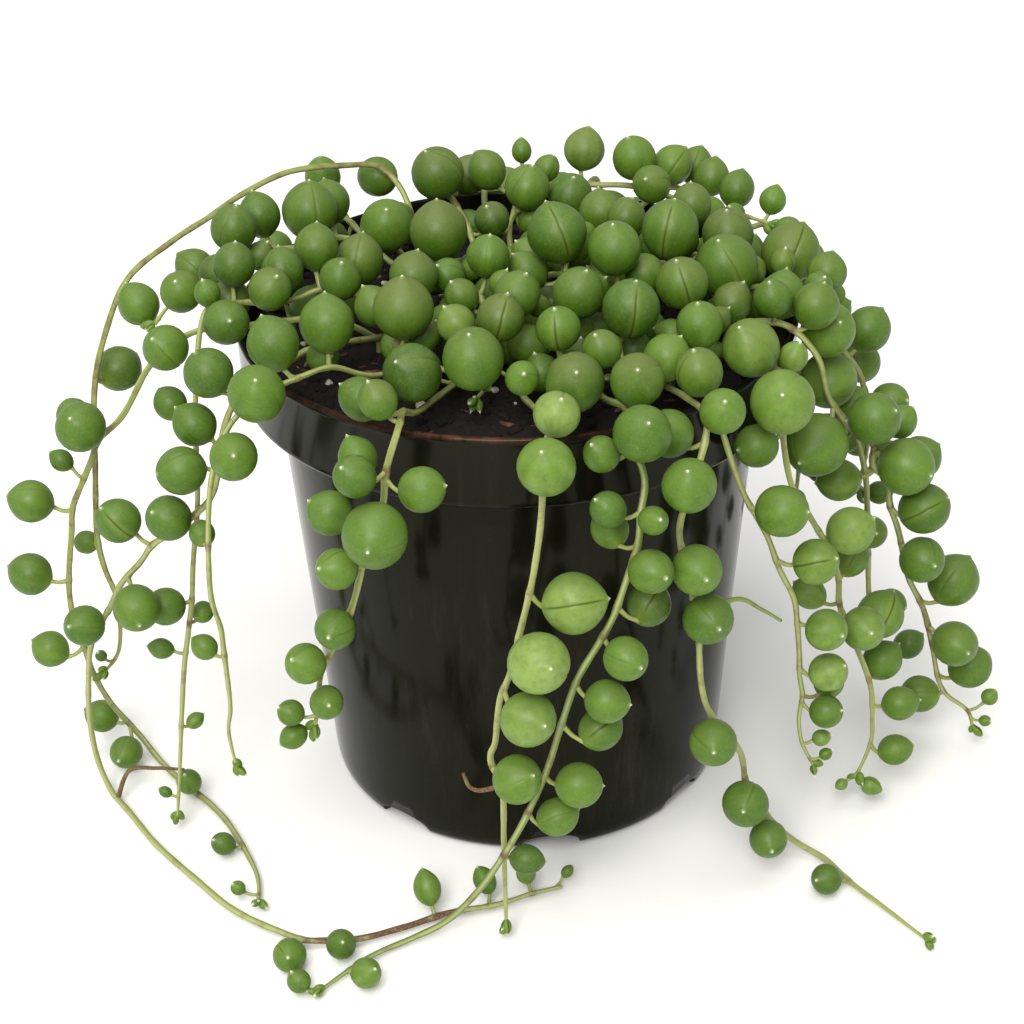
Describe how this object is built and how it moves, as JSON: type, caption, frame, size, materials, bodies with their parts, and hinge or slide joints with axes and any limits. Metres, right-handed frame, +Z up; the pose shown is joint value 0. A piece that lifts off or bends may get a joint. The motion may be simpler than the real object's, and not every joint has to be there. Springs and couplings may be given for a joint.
{
  "type": "potted string of pearls",
  "caption": "Trailing string of pearls succulent with round beadlike leaves, growing in peat in a black glossy plastic nursery pot and hanging over its rim.",
  "frame": {"origin": "centre of the pot's flat underside, on the surface that the pot stands on", "axes": "+Z up along the pot's axis, +X to the right seen from the front, -Y the front, where the longest strands reach the surface"},
  "size_m": [0.1989, 0.1628, 0.1268],
  "materials": {
    "pot_plastic": "glossy injection moulded, slightly dusty",
    "peat": "rough crumbly potting mix",
    "leaf": "smooth waxy fleshy skin"
  },
  "bodies": {
    "root": {"pot": "pot_plastic", "soil": "peat", "strand_left_arch": "leaf", "strand_left_top": "leaf", "strand_left_middle": "leaf", "strand_left_outer": "leaf", "strand_left_floor": "leaf", "strand_left_inner": "leaf", "strand_front_left": "leaf", "strand_front_one": "leaf", "strand_front_two": "leaf", "strand_front_right": "leaf", "strand_right_one": "leaf", "strand_right_two": "leaf", "strand_right_three": "leaf", "strand_right_four": "leaf", "strand_right_top": "leaf", "strand_crown_left_back": "leaf", "strand_crown_left": "leaf", "strand_crown_back": "leaf", "strand_crown_middle": "leaf", "strand_crown_front": "leaf", "strand_crown_centre": "leaf", "strand_crown_right": "leaf", "strand_crown_back_right": "leaf", "strand_crown_right_back": "leaf", "strand_crown_low_left": "leaf", "strand_crown_low_middle": "leaf", "strand_crown_low_right": "leaf", "strand_crown_low_far_right": "leaf", "strand_back_left": "leaf", "strand_back_right": "leaf", "strand_back_middle": "leaf", "strand_back_low": "leaf"}
  },
  "joints": []
}
